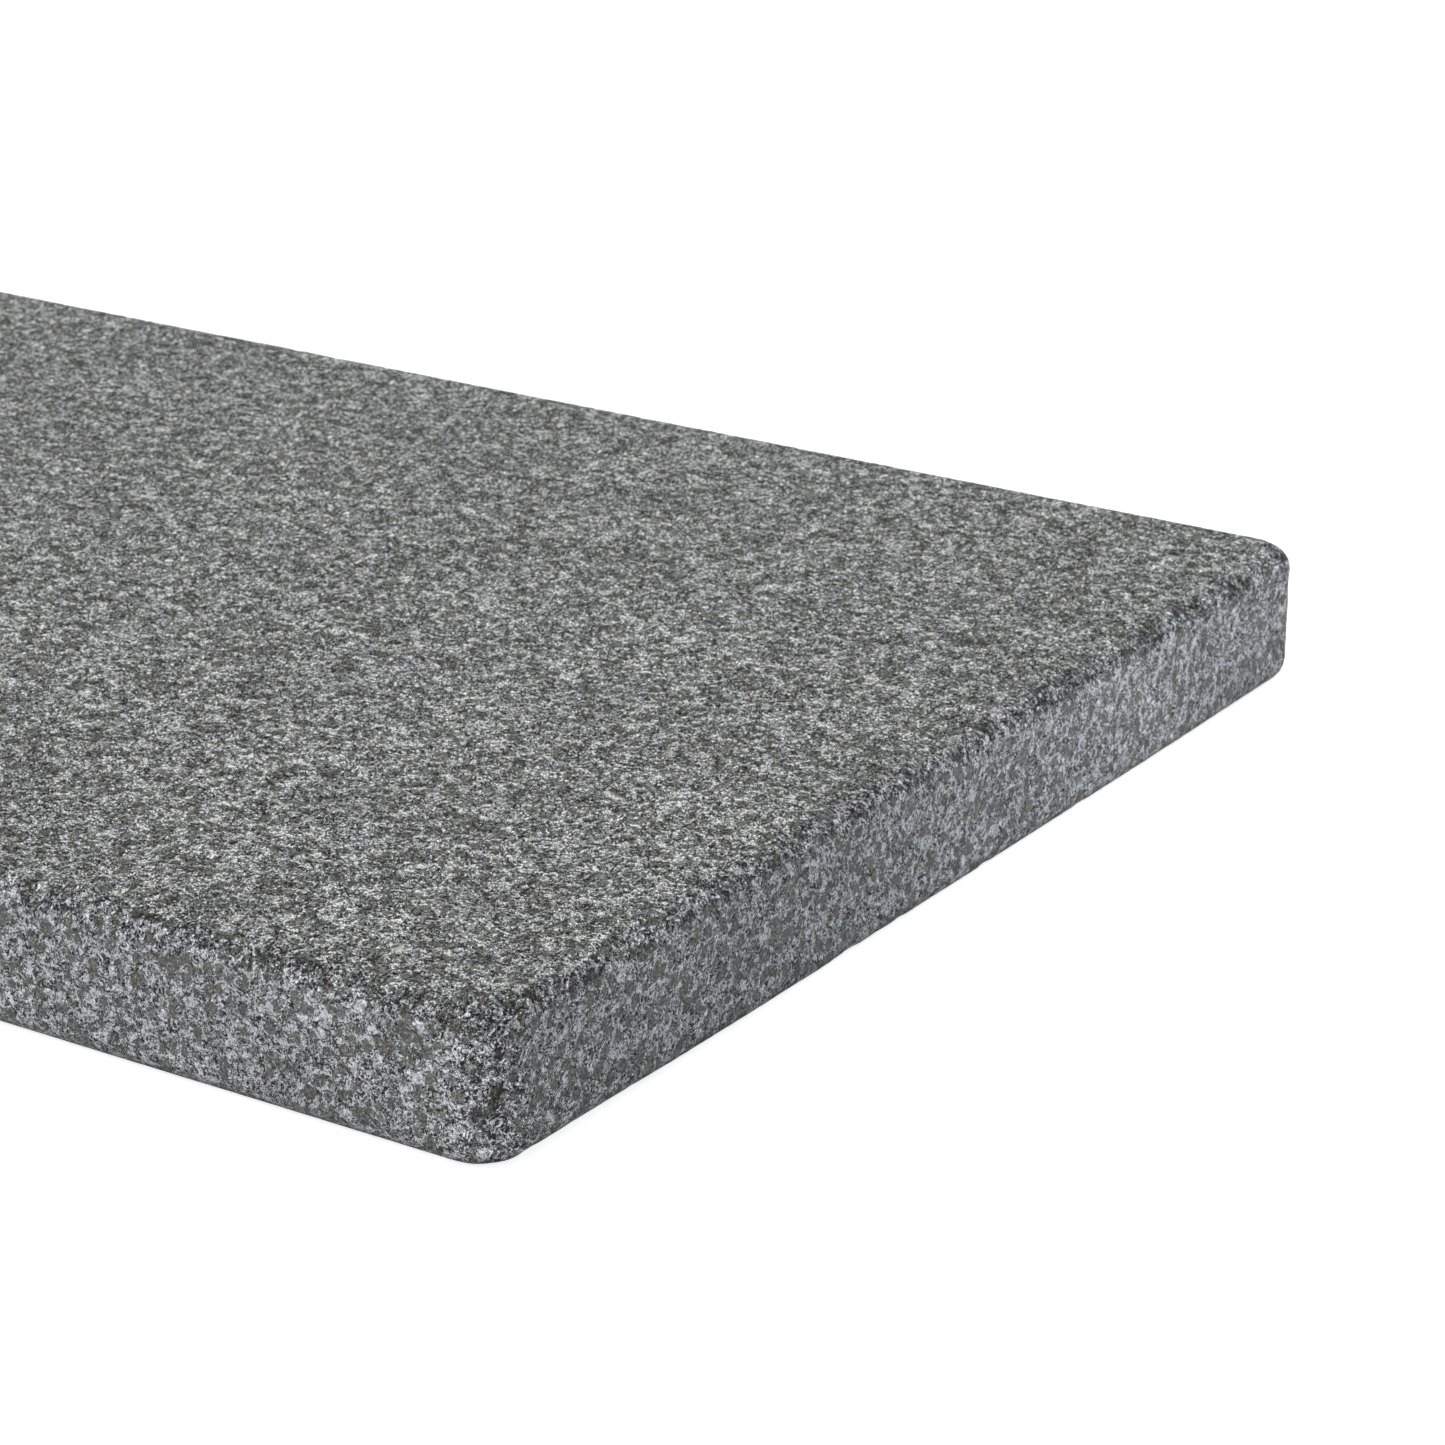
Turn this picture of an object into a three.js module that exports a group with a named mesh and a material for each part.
// A granite work slab for leather tooling: one piece of flame-textured stone,
// resting flat on its underside, with every edge eased and its four upright
// corners rounded.
//
// Units are millimetres. +X runs along the long side, +Y along the short side
// and +Z up. The origin is the centre of the underside, which lies in z = 0.

import * as THREE from "three";

// Overall size of the stone
const LENGTH = 400; // along X
const WIDTH = 300; // along Y
const THICKNESS = 30; // along Z

// Edge work
const CORNER_RADIUS = 11; // upright corners, seen from above
const EDGE_RADIUS = 5; // arris round the top face and round the underside

// Facets of the curved edges
const CORNER_SEGMENTS = 8; // per quarter turn of an upright corner
const EDGE_SEGMENTS = 5; // per quarter turn of an arris

const QUARTER_TURN = Math.PI / 2;

// The corners as signs of X and Y, counter-clockwise from above
const CORNER_SIGNS = [
  [1, -1],
  [1, 1],
  [-1, 1],
  [-1, -1],
];

// Outline of the slab from above, counter-clockwise, with rounded corners.
function slabOutline() {
  const cornerX = LENGTH / 2 - CORNER_RADIUS;
  const cornerY = WIDTH / 2 - CORNER_RADIUS;
  const outline = new THREE.Shape();
  outline.moveTo(-cornerX, -WIDTH / 2);
  outline.lineTo(cornerX, -WIDTH / 2);

  // Each later arc draws the straight side that leads up to it.
  CORNER_SIGNS.forEach(([signX, signY], corner) => {
    const startAngle = (corner - 1) * QUARTER_TURN;
    outline.absarc(
      signX * cornerX,
      signY * cornerY,
      CORNER_RADIUS,
      startAngle,
      startAngle + QUARTER_TURN,
      false,
    );
  });
  return outline;
}

function graniteMaterial() {
  return new THREE.MeshStandardMaterial({
    color: new THREE.Color(0.21, 0.213, 0.215), // dark, nearly neutral grey
    roughness: 0.85,
    metalness: 0,
  });
}

// The stone is the outline drawn up to its thickness. The bevel takes the arris
// off both faces and is set inwards, so that the outline keeps its full size at
// mid height.
function graniteSlab() {
  const geometry = new THREE.ExtrudeGeometry(slabOutline(), {
    depth: THICKNESS - 2 * EDGE_RADIUS,
    steps: 1,
    curveSegments: CORNER_SEGMENTS,
    bevelEnabled: true,
    bevelThickness: EDGE_RADIUS,
    bevelSize: EDGE_RADIUS,
    bevelOffset: -EDGE_RADIUS,
    bevelSegments: EDGE_SEGMENTS,
  });
  const slab = new THREE.Mesh(geometry, graniteMaterial());
  slab.name = "granite_slab";
  // The lower bevel hangs below the extrusion's start, so lift it to z = 0.
  slab.position.z = EDGE_RADIUS;
  return slab;
}

const part = new THREE.Group();
part.add(graniteSlab());

export default part;
